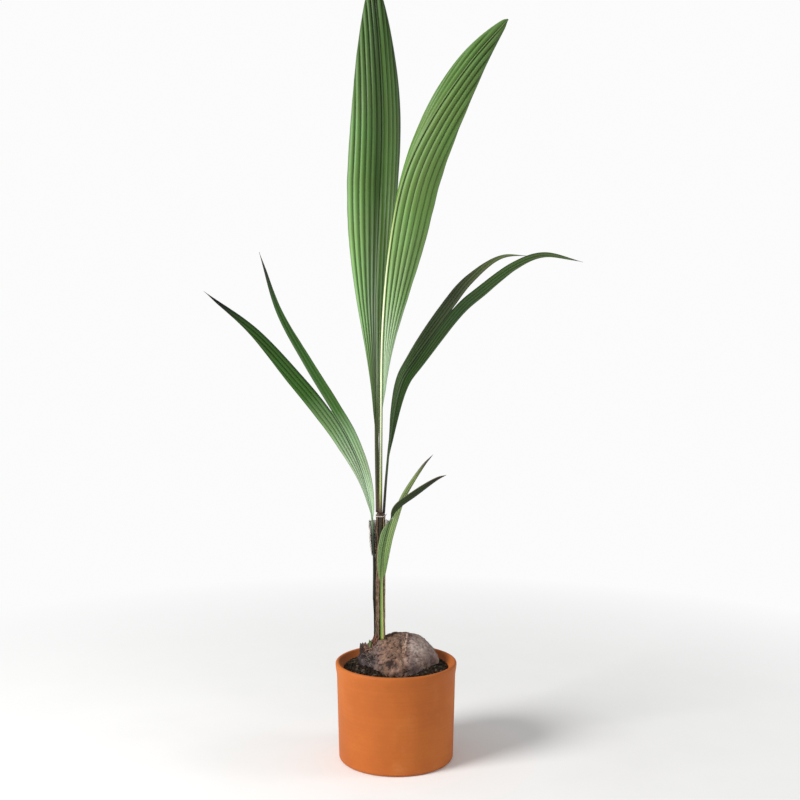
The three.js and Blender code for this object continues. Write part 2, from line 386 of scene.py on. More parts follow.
def potOutline():
    height, rim = pot["height"], pot["rimRound"]
    beadFoot = height - pot["beadHeight"]
    outline = arcPoints(pot["footRadius"] - pot["footRound"], pot["footRound"], pot["footRound"], -90, 0)
    for i in range(1, 11):  # the wall leans out very slightly
        share = i / 10
        outline.append((mix(pot["footRadius"], pot["neckRadius"], share), mix(6, beadFoot, share)))
    for i in range(1, 7):  # the bead swells softly out of the wall
        share = i / 6
        bulge = ease(0, 1, share)
        outline.append((mix(pot["neckRadius"], pot["rimRadius"], bulge), mix(beadFoot, height - rim, share)))
    outline += arcPoints(pot["rimRadius"] - rim, height - rim, rim, 0, 135)[1:]
    lipRadius, lipHeight = outline[-1]
    for i in range(1, 7):  # inside the lip the clay slopes in and rounds over into the wall
        share = i / 6
        outline.append((mix(lipRadius, pot["innerRadius"], share) + 0.9 * math.sin(math.pi * share),
                        mix(lipHeight, pot["shoulder"], share)))
    outline.append((pot["innerRadius"] - 0.35, pot["shoulder"] - 5))
    outline.append((pot["innerFootRadius"] + 0.6, pot["floor"] + 6))
    outline.append((pot["innerFootRadius"], pot["floor"] + 2))
    outline.append((pot["innerFootRadius"] - 3, pot["floor"]))
    return outline


def clayFinish():
    material, tree, shader, place = newMaterial("firedClay")
    cloud = speckle(tree, place, 9.0, 4.0)
    fine = speckle(tree, place, 260.0, 2.0)
    rings = streaks(tree, place, (4, 4, 420), 2.0)
    tone = ramp(tree, cloud, [(0.3, (172, 91, 34)), (0.5, (182, 98, 38)), (0.7, (190, 108, 45))])
    value = plus(tree, swing(tree, fine, -0.02, 0.02), 1.0)
    value = plus(tree, value, remap(tree, rings, 0.35, 0.65, -0.02, 0.02))
    height = addNode(tree, "SeparateXYZ", {0: place}).outputs["Z"]
    lime = times(tree, remap(tree, speckle(tree, place, 34.0, 5.0, 0.7), 0.56, 0.74, 0, 1),
                 remap(tree, height, 0.0, 0.05, 0.22, 0.08))
    tone = blend(tree, lime, shade(tree, tone, value), paint(214, 146, 104))
    rough = swing(tree, cloud, 0.55, 0.68)
    bumps = relief(tree, fine, 0.15, 0.0003, relief(tree, rings, 0.12, 0.0004))
    setFinish(tree, shader, tone, rough, bumps, 0.25)
    return material


def makePot():
    outline = potOutline()
    radius, height = outline[0]
    bpy.ops.mesh.primitive_circle_add(vertices=pot["sides"], radius=radius * mm,
                                      location=(0, 0, height * mm), fill_type="NOTHING")
    piece = bpy.context.object
    pickOnly(piece)
    bpy.ops.object.mode_set(mode="EDIT")
    bpy.ops.mesh.select_mode(type="EDGE")
    bpy.ops.mesh.select_all(action="SELECT")
    for nextRadius, nextHeight in outline[1:]:
        bpy.ops.mesh.extrude_region()
        widen = nextRadius / radius
        bpy.ops.transform.resize(value=(widen, widen, 1), center_override=(0, 0, 0))
        bpy.ops.transform.translate(value=(0, 0, (nextHeight - height) * mm))
        radius, height = nextRadius, nextHeight
    bpy.ops.mesh.edge_face_add()  # the inside floor
    bpy.ops.mesh.select_all(action="SELECT")
    bpy.ops.mesh.region_to_loop()
    bpy.ops.mesh.edge_face_add()  # the flat underside
    bpy.ops.mesh.select_all(action="SELECT")
    bpy.ops.mesh.normals_make_consistent(inside=False)
    bpy.ops.object.mode_set(mode="OBJECT")
    drills = []
    for i in range(pot["holes"]):
        angle = 2 * math.pi * i / pot["holes"]
        away = pot["holeCircle"] * mm
        bpy.ops.mesh.primitive_cylinder_add(
            vertices=32, radius=pot["holeRadius"] * mm, depth=3 * pot["floor"] * mm,
            location=(away * math.cos(angle), away * math.sin(angle), 0.005))
        drills.append(bpy.context.object)
    drill = joinPieces(drills)
    applyModifier(piece, "BOOLEAN", object=drill, operation="DIFFERENCE", solver="EXACT")
    bpy.data.objects.remove(drill)
    piece = finishPiece(piece, "clayPot", clayFinish(), ["pot"])
    bpy.ops.object.shade_smooth_by_angle(angle=math.radians(35))
    print("pot made")


makePot()


# Nut: a dried coconut in its husk, lying half sunk in the soil

nut = {
    "centre": (4.5, 18, 148), "radii": (67, 56, 57),
    "ridges": 3, "ridgeDepth": 0.035, "ridgeTurn": 0.5, "taper": 0.06,
    "segments": 200, "rings": 150,
    "crease": [(18, 14, 206), (16, -2, 202), (15, -15, 194), (14, -25, 185), (12, -31, 178)],
    "pits": [((11, -33, 179), 4.5, 5.5), ((16.5, -36, 170), 4.5, 6), ((-8, -38, 166), 7, 6),
             ((0, -38, 164), 6, 5), ((-20, -34, 167), 5, 2.5), ((-45, 8, 188), 10, 8),
             ((-36, 3, 184), 6, 4), ((28, -40, 158), 8, 2), ((-16, 17, 206), 19, 9),
             ((68, -6, 158), 20, 4.5), ((13, -34, 173), 3.2, 5), ((-9, -33, 175), 3.5, 4)],
    "lumps": [((-10, -38, 156), 20, 9), ((16, -38, 156), 22, 10), ((42, -30, 156), 16, 6),
              ((-58, 10, 164), 12, 4), ((22, -36, 163), 9, 3), ((4, -38, 172), 6, 2),
              ((-14, -34, 176), 7, 2.5), ((8, -40, 160), 8, 2.5), ((40, -20, 176), 12, 1.5),
              ((-28, -20, 181), 8, 1.5)],
    "strands": 190, "strandsAbove": 142,
    "smoothEnd": (14, 34), "warmFrom": (-40, -18), "warmTo": (26, 8),  # x where each begins and is full
}


def nutPlace(axis, side, lift):  # a point of the unit sphere, axis along the nut's length
    girth = math.hypot(side, lift)
    turn = math.atan2(lift, side) + nut["ridgeTurn"]
    bulge = 1 + nut["ridgeDepth"] * girth * math.cos(nut["ridges"] * turn) - nut["taper"] * axis * girth
    cx, cy, cz = nut["centre"]
    rx, ry, rz = nut["radii"]
    return Vector((cx + rx * axis, cy + ry * bulge * side, cz + rz * bulge * lift))


def nearCrease(place):  # distance in mm from the crease that runs down from the top
    best = 1000.0
    for a, b in zip(nut["crease"], nut["crease"][1:]):
        start, along = Vector(a), Vector(b) - Vector(a)
        share = clamp((place - start).dot(along) / along.length_squared)
        best = min(best, (place - start - along * share).length)
    return best


def warp(place):  # makes the hollows uneven in outline
    return 1 + 0.5 * noise.noise(place * 0.13 + Vector((5, 2, 9)))


def crumpleAt(place):  # 0 along the bottoms of the fine folds
    return abs(ripple(place.x * 0.11, place.y * 0.17, place.z * 0.17))


def nutRelief(place):  # how far the dried husk stands out of the plain shape, in mm
    swell = 2.2 * noise.noise(place * 0.035) + 1.5 * noise.noise(place * 0.09 + Vector((3, 1, 7)))
    rugged = mix(1, 0.45, ease(*nut["smoothEnd"], place.x))  # the right end is smoother
    crumple = crumpleAt(place)
    swell -= 1.7 * rugged * (1 - crumple * 3) if crumple < 0.33 else 0
    swell += 0.7 * rugged * ripple(place.x * 0.12, place.y * 0.55, place.z * 0.55)
    swell += 0.25 * noise.noise(place * 0.5)
    for centre, size, depth in nut["pits"]:
        uneven = warp(place) if size < 12 else 1
        swell -= depth * hump((place - Vector(centre)).length * uneven, 0, size)
    for centre, size, depth in nut["lumps"]:
        swell += depth * hump((place - Vector(centre)).length, 0, size)
    gap = nearCrease(place)
    swell += 1.6 * hump(gap, 2.6, 1.6) - 1.8 * hump(gap, 0, 1.3)
    return swell


def nutToneAndShade(place):  # -1 where shade is painted: in the hollows, along the bottoms of the fine folds and on the low left end; +1 on the pale crease and on the hollows' lips
    tone = 0.9 * hump(nearCrease(place), 0, 2.4)
    for centre, size, depth in nut["pits"]:
        gap = (place - Vector(centre)).length * warp(place) / size
        if size < 8:
            # painted shade inside the small hollows, with pale lips round them
            tone += depth * (0.07 * hump(gap, 1.25, 0.3) - 0.3 * hump(gap, 0, 0.8))
    # painted shade along the bottoms of the fine folds
    tone -= 0.9 * mix(1, 0.4, ease(*nut["smoothEnd"], place.x)) * ease(0.12, 0, crumpleAt(place))
    # lighter towards the smoother right end; painted shade on the low left end
    tone += 0.35 * ease(10, 40, place.x) - 0.55 * ease(-28, -46, place.x) * ease(186, 168, place.z)
    return clamp(tone, -1, 1)


def huskFinish(name, darkest, middle, palest, mauve):
    material, tree, shader, place = newMaterial(name)
    cloud = speckle(tree, place, 30.0, 6.0, 0.62)
    fibre = streaks(tree, place, (90, 420, 420), 5.0, 0.7)
    grit = speckle(tree, place, 520.0, 3.0, 0.6)
    mixed = plus(tree, times(tree, cloud, 0.66), times(tree, fibre, 0.34))
    # on the nut the tone value holds the pale crease and painted shade in its hollows, fold bottoms and low
    # left end
    mixed = plus(tree, mixed, times(tree, valueOf(tree, "tone"), 0.3))
    warm = blend(tree, valueOf(tree, "warm"), paint(255, 255, 255), paint(255, 232, 206))
    tone = ramp(tree, mixed, [(0.3, darkest), (0.46, mixEach(darkest, middle, 0.7)),
                              (0.56, middle), (0.78, palest)])
    tone = blend(tree, remap(tree, speckle(tree, place, 22.0, 3.0), 0.45, 0.65, 0, 0.65), tone,
                 blend(tree, mixed, paint(*mixEach(darkest, mauve, 0.35)), paint(*mauve)))
    tone = blend(tree, 1.0, shade(tree, tone, swing(tree, grit, 0.88, 1.12)), warm, "MULTIPLY")
    bumps = relief(tree, fibre, 0.6, 0.0012, relief(tree, cloud, 0.4, 0.003))
    setFinish(tree, shader, tone, swing(tree, fibre, 0.7, 0.95), bumps, 0.25)
    return material


def makeNut():
    bpy.ops.mesh.primitive_uv_sphere_add(segments=nut["segments"], ring_count=nut["rings"], radius=1)
    piece = bpy.context.object
    centre = Vector(nut["centre"])
    tones, warmth = [], []

    def huskPlace(point):
        place = nutPlace(point.z, point.x, point.y)
        # the pale crease, and painted shade in the hollows, fold bottoms and low left end
        tones.append(nutToneAndShade(place))
        warmth.append(ease(*nut["warmFrom"], place.x) * ease(*nut["warmTo"], place.x))
        return (place + (place - centre).normalized() * nutRelief(place)) * mm

    shapePoints(piece, huskPlace)
    addValues(piece, "tone", tones)
    addValues(piece, "warm", warmth)
    husk = huskFinish("driedHusk", (30, 22, 20), (136, 115, 108), (204, 188, 178), (136, 122, 126))
    finishPiece(piece, "nutHusk", husk, ["coconut"])

    strands = []
    while len(strands) < nut["strands"]:
        turn = dice.uniform(0, 2 * math.pi)
        axis = dice.uniform(-0.95, 0.9)
        slope = dice.gauss(0, 0.35)
        reach = dice.uniform(0.08, 0.34)
        steps = dice.randint(5, 8)
        lift = dice.uniform(0.1, 0.7)
        rod = []
        for i in range(steps + 1):
            share = i / steps
            along = axis + reach * share
            if along > 0.97:
                break
            bearing = turn + slope * share * reach * 3 + 0.05 * math.sin(9 * share + turn)
            girth = math.sqrt(1 - along * along)
            place = nutPlace(along, girth * math.cos(bearing), girth * math.sin(bearing))
            out = (place - centre).normalized()
            hop = lift * math.sin(math.pi * share) + (dice.uniform(0, 2.2) if i == steps else 0)
            place += out * (nutRelief(place) + hop)
            rod.append((place * mm, mix(0.22, 0.1, share) * mm))
        if len(rod) > 3 and rod[0][0].z > nut["strandsAbove"] * mm:
            strands.append(rod)
    piece = drawRods(strands, 0)
    strandFinish = strandMaterial("huskStrands", (96, 76, 62), (204, 184, 158))
    finishPiece(piece, "nutStrands", strandFinish)
    print("nut made")


makeNut()


# Torn flap of husk standing at the left end of the nut, with a bud and shreds beside it

flap = {
    "centre": (-51.5, 13), "width": 15, "thick": 10, "bottom": 150, "top": 190, "lean": 3,
    "budFoot": (-43, 4, 179), "budTop": (-44.5, 2, 197), "budRadius": 3.6, "shreds": 90,
}


def makeFlap():
    bpy.ops.mesh.primitive_cube_add(size=1)
    piece = bpy.context.object
    bpy.ops.object.mode_set(mode="EDIT")
    bpy.ops.mesh.select_all(action="SELECT")
    bpy.ops.mesh.subdivide(number_cuts=27, smoothness=0)
    bpy.ops.object.mode_set(mode="OBJECT")

    def flapPlace(point):
        side, depth, height = point.x * 2, point.y * 2, point.z + 0.5
        ragged = 3.2 * ripple(side * 2.4, 5, 1) + 2.0 * ripple(side * 9, 2, 4)
        thin = mix(1, 0.42, ease(0.3, 1, height))
        narrow = mix(0.86, 1, math.sin(math.pi * clamp(height * 1.1))) * mix(1, 0.86, ease(0.85, 1, height))
        around = max(abs(side), abs(depth))
        rounding = around / max(0.001, math.hypot(side, depth)) if around > 0 else 1
        rounding = mix(1, rounding, 0.75)
        x = side * rounding * flap["width"] / 2 * narrow
        y = depth * rounding * flap["thick"] / 2 * thin + 0.03 * x * x
        z = mix(flap["bottom"], flap["top"] - 2 + ragged, height)
        place = Vector((flap["centre"][0] - flap["lean"] * height + x, flap["centre"][1] - 2.5 + y, z))
        crumple = 0.7 * noise.noise(place * 0.25)
        crumple += 0.5 * ripple(place.x * 0.9, place.y * 0.9, place.z * 0.15)
        return (place + Vector((0.5 * crumple, -crumple, 0))) * mm

    shapePoints(piece, flapPlace)
    mergeAndTurnOut(piece)
    addValues(piece, "tone", [0.5 * ease(0.182, 0.19, point.co.z) - 0.25 for point in piece.data.vertices])
    shard = huskFinish("tornHusk", (38, 27, 21), (88, 68, 54), (150, 128, 110), (84, 70, 68))
    finishPiece(piece, "huskFlap", shard, ["husk_flap"])

    foot, top = Vector(flap["budFoot"]), Vector(flap["budTop"])
    rod = []
    for i in range(15):
        share = i / 14
        radius = flap["budRadius"] * math.sin(math.pi * mix(0.18, 1, share) ** 0.9) ** 0.8
        bow = Vector((1.2 * math.sin(math.pi * share), 0, 0))
        rod.append(((foot.lerp(top, share) + bow) * mm, max(0.15, radius) * mm))
    piece = drawRods([rod], 5)
    material, tree, shader, place = newMaterial("greenBud")
    tone = ramp(tree, streaks(tree, place, (500, 500, 90)),
                [(0.35, (44, 72, 22)), (0.65, (112, 146, 62))])
    setFinish(tree, shader, tone, 0.5, relief(tree, speckle(tree, place, 700.0), 0.3, 0.0003))
    finishPiece(piece, "sideBud", material)

    shreds = []
    for i in range(flap["shreds"]):
        foot = Vector((dice.uniform(-52, -30), dice.uniform(-8, 9), dice.uniform(174, 183)))
        bend = Vector((dice.gauss(0, 4), dice.gauss(-2, 3), dice.uniform(3, 12)))
        curl = Vector((dice.gauss(0, 2), dice.gauss(0, 2), 0))
        thick = dice.uniform(0.25, 0.7)
        shreds.append(thinningRod(lambda s: foot + bend * s + curl * s * s, thick, 0.75,
                                  (0, 0.25, 0.5, 0.75, 1)))
    makeStrands(shreds, 0, "notchShreds", (62, 34, 26), (206, 166, 148), 160.0)
    print("flap made")


makeFlap()


# Soil: dark potting mix with crumbs and bark bits

soil = {
    "top": 153.5, "crown": 3, "gap": 0.7, "rings": 60, "sides": 128,
    "crumbs": 1500, "chips": 260, "crumbSize": (0.8, 2.4), "chipSize": (1.6, 4.2),
    "topShare": 0.78, "sideShare": 0.15,  # shares of the mesh on the top and down the side
    "strewn": 85.3, "edge": 85.6,
}


def soilHeight(x, y):
    away = math.hypot(x, y) / 86
    crown = soil["crown"] * (1 - ease(0.5, 1, away))
    rough = 1.6 * ripple(x * 0.05, y * 0.05, 2) + 1.1 * ripple(x * 0.2, y * 0.2, 6)
    dip = 8.5 * hump(x, 4, 34) * ease(-24, -42, y)  # lower in front of the nut
    return soil["top"] + crown - 0.6 - dip + rough * (1 - 0.5 * ease(0.9, 1, away))


def onNut(x, y, z):  # below 1 inside the nut
    return math.sqrt(sum(((p - c) / r) ** 2 for p, c, r in zip((x, y, z), nut["centre"], nut["radii"])))


def soilFinish():
    material, tree, shader, place = newMaterial("pottingMix")
    grain = speckle(tree, place, 210.0, 6.0, 0.75)
    patch = speckle(tree, place, 40.0, 3.0)
    tone = ramp(tree, grain, [(0.32, (13, 9, 7)), (0.5, (30, 21, 15)), (0.72, (62, 46, 33))])
    tone = blend(tree, remap(tree, patch, 0.5, 0.7, 0, 0.5), tone, paint(30, 30, 20))
    setFinish(tree, shader, tone, 0.92, relief(tree, grain, 0.9, 0.002), 0.2)
    return material


def bitMaterial(name, dark, pale):
    material, tree, shader, place = newMaterial(name)
    grain = speckle(tree, place, 420.0, 4.0, 0.7)
    tone = ramp(tree, grain, [(0.3, dark), (0.7, pale)])
    setFinish(tree, shader, tone, 0.9, relief(tree, grain, 0.5, 0.001), 0.2)
    return material


def makeSoil():
    def wall(z):
        share = min(1, (z - pot["floor"]) / (pot["shoulder"] - pot["floor"]))
        return mix(pot["innerFootRadius"], pot["innerRadius"], share) - soil["gap"]

    bpy.ops.mesh.primitive_grid_add(x_subdivisions=soil["sides"], y_subdivisions=soil["rings"], size=1)
    piece = bpy.context.object

    def soilPlace(point):
        turn = 2 * math.pi * (point.x + 0.5)
        share = 1 - (point.y + 0.5)  # 0 in the middle of the top, 1 in the middle of the underside
        if share < soil["topShare"]:
            radius = wall(soil["top"]) * (share / soil["topShare"]) ** 0.7
            x, y = radius * math.cos(turn), radius * math.sin(turn)
            return Vector((x, y, soilHeight(x, y))) * mm
        downSide = (share - soil["topShare"]) / soil["sideShare"]
        if downSide < 1:
            z = mix(soil["top"] - 2, pot["floor"] + 0.5, downSide)
            return Vector((wall(z) * math.cos(turn), wall(z) * math.sin(turn), z)) * mm
        under = 1 - soil["topShare"] - soil["sideShare"]
        radius = wall(pot["floor"]) * clamp((1 - share) / under)
        return Vector((radius * math.cos(turn), radius * math.sin(turn), pot["floor"] + 0.4)) * mm

    shapePoints(piece, soilPlace)
    mergeAndTurnOut(piece)
    finishPiece(piece, "soilBed", soilFinish(), ["soil"])

    def scatter(count, sizes, flatness):
        places = []
        while len(places) < count:
            radius, turn = soil["strewn"] * math.sqrt(dice.random()), dice.uniform(0, 2 * math.pi)
            x, y = radius * math.cos(turn), radius * math.sin(turn)
            z = soilHeight(x, y)
            size = mix(*sizes, dice.random() ** 2)
            if onNut(x, y, z) < 0.99 or math.hypot(x, y) + size > soil["edge"]:
                continue
            spin = Matrix.Rotation(dice.uniform(0, 6.28), 4, Vector([dice.gauss(0, 1) for _ in range(3)]))
            form = Matrix.Diagonal((size * dice.uniform(0.7, 1.3), size * flatness, size, 1)).to_4x4()
            places.append(Matrix.Scale(mm, 4) @ Matrix.Translation((x, y, z + 0.3 * size)) @ spin @ form)
        return places

    bpy.ops.mesh.primitive_ico_sphere_add(subdivisions=1, radius=1)
    crumb = bpy.context.object
    shapePoints(crumb, lambda point: point * dice.uniform(0.72, 1.1))
    crumbs = sprayCopies(crumb, scatter(soil["crumbs"], soil["crumbSize"], 0.9), [
        bitMaterial("darkCrumb", (15, 11, 8), (40, 30, 22)),
        bitMaterial("brownCrumb", (32, 22, 15), (70, 52, 37)),
        bitMaterial("oliveCrumb", (28, 27, 17), (58, 56, 40))])
    finishPiece(crumbs, "soilCrumbs", None, smooth=False)
    bpy.ops.mesh.primitive_ico_sphere_add(subdivisions=1, radius=1)
    chip = bpy.context.object

    def chipPlace(point):
        return Vector((point.x * 1.5, point.y * 0.35, point.z * 0.8)) * dice.uniform(0.7, 1.1)

    shapePoints(chip, chipPlace)
    chips = sprayCopies(chip, scatter(soil["chips"], soil["chipSize"], 1.0), [
        bitMaterial("barkChip", (32, 20, 13), (74, 50, 34)),
        bitMaterial("darkChip", (14, 10, 8), (38, 28, 20)),
        bitMaterial("greyChip", (56, 49, 41), (104, 94, 78))])
    finishPiece(chips, "barkChips", None, smooth=False)
    print("soil made")


makeSoil()


# Stem: a green shoot wrapped in brown fibrous sheaths, with a torn ring at the top

stem = {
    "foot": 172, "top": 406, "centreFoot": (-27.5, 16), "centreTop": (-25.5, 16),
    "widthFoot": 8.6, "widthTop": 7.6, "depthFoot": 9.6, "depthTop": 9.2,
    "opensFrom": -7, "opensTo": 50, "strands": 150,
    "strip": [((-36.4, 12, 266), 2.2), ((-36.1, 11.7, 254), 1.9), ((-35.6, 11, 238), 1.5),
              ((-35.4, 11, 210), 1.4), ((-35.8, 11, 184), 1.2)],
    "footFibres": 90, "ringHeight": 401.5,
    # low, high, the edges' turns, swell, seed and how frayed the top is
    "wraps": [(170, 352, -310, -7, 0.1, 1.3, 5), (300, 402, -320, -30, -0.3, 5.7, 3)],
}


def stemPlace(height, turn, swell):  # turn in degrees from the front, towards the right
    t = (height - stem["foot"]) / (stem["top"] - stem["foot"])
    x, y = mixEach(stem["centreFoot"], stem["centreTop"], t)
    flare = 1 + 0.12 * math.exp(-(height - stem["foot"]) / 30)
    width = mix(stem["widthFoot"], stem["widthTop"], t) * flare + swell
    depth = mix(stem["depthFoot"], stem["depthTop"], t) * flare + swell
    angle = math.radians(turn)
    return Vector((x + width * math.sin(angle), y - depth * math.cos(angle), height))


def sheathFinish(name, dark, brown, pale, edge):
    material, tree, shader, place = newMaterial(name)
    fibre = streaks(tree, place, (900, 900, 60), 4.0, 0.65)
    blotch = streaks(tree, place, (260, 260, 130), 4.0, 0.7)
    mixed = plus(tree, times(tree, fibre, 0.45), times(tree, blotch, 0.55))
    tone = ramp(tree, mixed, [(0.36, dark), (0.5, brown), (0.66, pale)])
    tone = blend(tree, valueOf(tree, "edge"), tone, paint(*edge))
    bumps = relief(tree, fibre, 0.7, 0.0008, relief(tree, blotch, 0.4, 0.001))
    setFinish(tree, shader, tone, 0.75, bumps, 0.3)
    return material


def makeShoot():
    rod = [(stemPlace(mix(stem["foot"], stem["top"], i / 90), 0, 0) * mm, 5 * mm) for i in range(91)]
    piece = drawRods([rod], 10)

    def corePlace(point):
        height = point.z / mm
        middle = stemPlace(height, 0, 0)
        ground = stemPlace(height, 90, 0)
        centre = Vector((middle.x, ground.y, 0))
        flat = Vector((point.x / mm - middle.x, point.y / mm - middle.y, 0))
        if flat.length < 0.01:
            return Vector((centre.x, centre.y, height)) * mm
        turn = math.degrees(math.atan2(flat.x, -flat.y))
        folds = 0.5 * math.cos(math.radians(5 * turn + 0.5 * height))
        folds += 0.4 * ripple(turn * 0.05, height * 0.03, 3)
        return stemPlace(height, turn, -1.3 + folds) * mm

    shapePoints(piece, corePlace)
    material, tree, shader, place = newMaterial("greenShoot")
    parts = addNode(tree, "SeparateXYZ", {0: place}).outputs
    fibre = streaks(tree, place, (700, 700, 30), 4.0, 0.6)
    byHeight = remap(tree, parts["Z"], 0.18, 0.41, 0, 1)
    tone = ramp(tree, byHeight, [(0.0, (52, 84, 22)), (0.4, (62, 96, 30)), (0.55, (40, 62, 22)),
                                 (0.93, (32, 44, 18)), (1.0, (92, 64, 50))])
    brown = ramp(tree, fibre, [(0.4, (44, 26, 18)), (0.7, (104, 74, 52))])
    withered = remap(tree, streaks(tree, place, (300, 300, 24)), 0.48, 0.62, 0, 0.85)
    tone = blend(tree, withered, shade(tree, tone, swing(tree, fibre, 0.7, 1.3)), brown)
    setFinish(tree, shader, tone, 0.5, relief(tree, fibre, 0.5, 0.0006))
    finishPiece(piece, "stemShoot", material, ["stem"])


def wrapSheath(low, high, fromTurn, toTurn, swell, seed, frayed):
    bpy.ops.mesh.primitive_grid_add(x_subdivisions=110, y_subdivisions=170, size=1)
    sheath = bpy.context.object
    edges = []

    def wrapPlace(point):
        u, v = point.x + 0.5, point.y + 0.5
        wild = 7 * ripple(seed, v * 16, 0) + 5 * ripple(seed, v * 70, 4)
        other = 7 * ripple(seed + 9, v * 14, 0) + 6 * ripple(seed + 9, v * 60, 4)
        turn = mix(fromTurn + wild, toTurn + other, u)
        topEdge = frayed * (ripple(u * 9, seed, 2) + 0.6 * ripple(u * 40, seed, 5))
        height = mix(low, high + topEdge, v)
        bulge = swell + 0.7 * ripple(turn * 0.06, height * 0.08, seed)
        bulge += 0.35 * ripple(turn * 0.4, height * 0.05, seed)
        bulge += 0.8 * (ease(0.93, 1, u) + ease(0.07, 0, u))
        edges.append(clamp(ease(0.06, 0, u) + 0.2 * ease(0.95, 1, u)) * 0.9)
        return stemPlace(height, turn, bulge) * mm

    shapePoints(sheath, wrapPlace)
    addValues(sheath, "edge", edges)
    applyModifier(sheath, "SOLIDIFY", thickness=0.5 * mm, offset=0)
    mergeAndTurnOut(sheath)
    return sheath


def makeWraps():  # they go round behind the shoot and stay open at the front
    wraps = joinPieces([wrapSheath(*wrap) for wrap in stem["wraps"]])
    wrapBark = sheathFinish("stemSheath", (26, 17, 13), (84, 62, 47), (148, 122, 100), (196, 176, 136))
    finishPiece(wraps, "stemSheath", wrapBark)


def makeRing():  # a pale torn ring where the leaf stalks leave the stem
    bpy.ops.mesh.primitive_torus_add(major_segments=96, minor_segments=10, major_radius=1, minor_radius=0.1)
    ring = bpy.context.object

    def ringPlace(point):
        turn = math.degrees(math.atan2(point.x, -point.y))
        out = (math.hypot(point.x, point.y) - 1) * 10
        lift = point.z * 10
        ragged = 1.1 * ripple(turn * 0.045, 0, 3) + 0.8 * ripple(turn * 0.2, 0, 7)
        flick = 3.2 * hump(turn, 62, 22)
        height = stem["ringHeight"] + lift * (0.9 + 0.5 * ragged) + ragged + 0.4 * flick
        return stemPlace(height, turn, 0.4 + 0.45 * out + 0.25 * ragged + 0.35 * flick) * mm

    shapePoints(ring, ringPlace)
    flick = drawRods([[(stemPlace(401 + 3.6 * s, 10 + 88 * s, 0.5 + 2.2 * s) * mm, mix(0.6, 0.3, s) * mm)
                       for s in (0, 0.2, 0.4, 0.6, 0.8, 1)]])
    ring = joinPieces([ring, flick])
    tornRing = strandMaterial("tornRing", (140, 116, 104), (236, 230, 222), 420.0)
    finishPiece(ring, "stemRing", tornRing)


def makeStemFibres():
    strands = []
    for i in range(stem["strands"]):
        left = dice.random() < 0.35
        edge = stem["opensFrom"] if left else stem["opensTo"]
        turn = edge + dice.gauss(0, 6) if dice.random() < 0.75 else dice.uniform(-180, 0)
        low = dice.uniform(172, 330)
        length = dice.uniform(10, 38)
        sway = dice.gauss(0, 5)
        out = dice.uniform(0.2, 1.6)
        thick = dice.uniform(0.12, 0.3)
        strands.append(thinningRod(
            lambda s: stemPlace(low + length * s, turn + sway * s, 0.4 + out * s * s), thick, 0.6))
    makeStrands(strands, 0, "stemStrands", (96, 70, 52), (184, 154, 118), 200.0)

    # a dark strip runs down the stem's left side from the left frond's stalk
    strip = [(Vector(place) * mm, radius * mm) for place, radius in stem["strip"]]
    makeStrands([strip], 3, "stemStrip", (12, 12, 8), (40, 40, 24), 120.0)

    # at its foot the stem spreads to the left in reddish fibres
    fibres = []
    for i in range(stem["footFibres"]):
        start = stemPlace(dice.uniform(182, 204), dice.uniform(-110, 12), dice.uniform(-0.6, 0.4))
        end = Vector((dice.uniform(-52, -31), dice.uniform(-5, 9), dice.uniform(176, 183)))
        sag = Vector((dice.gauss(1, 1), dice.gauss(-1, 1), dice.uniform(-4, 0)))
        thick = dice.uniform(0.35, 0.9)
        fibres.append(thinningRod(lambda s: start.lerp(end, s) + sag * math.sin(math.pi * s), thick, 0.6,
                                  (0, 0.17, 0.33, 0.5, 0.67, 0.83, 1)))
    makeStrands(fibres, 1, "footFibres", (70, 36, 26), (160, 112, 90), 240.0)


makeShoot()
makeWraps()
makeRing()
makeStemFibres()
print("stem made")


# Fibre sheath: the torn grey cloth of crossing threads behind the stem

cloth = {
    "bottom": 334, "top": 394, "radiusBottom": 14, "radiusTop": 19, "footCentre": (-25.9, 16),
    "topCentre": (-27, 19), "from": -12, "to": 200, "threads": 190,
}


def clothPlace(share, degrees, out):  # degrees from the right, round behind the stem
    t = clamp(share, 0, 1.15)
    radius = mix(cloth["radiusBottom"], cloth["radiusTop"], math.sqrt(max(0, t))) - 0.6 + out
    x, y = mixEach(cloth["footCentre"], cloth["topCentre"], t)
    angle = math.radians(degrees)
    height = mix(cloth["bottom"], cloth["top"], t)
    return Vector((x + radius * math.cos(angle), y + radius * math.sin(angle), height))


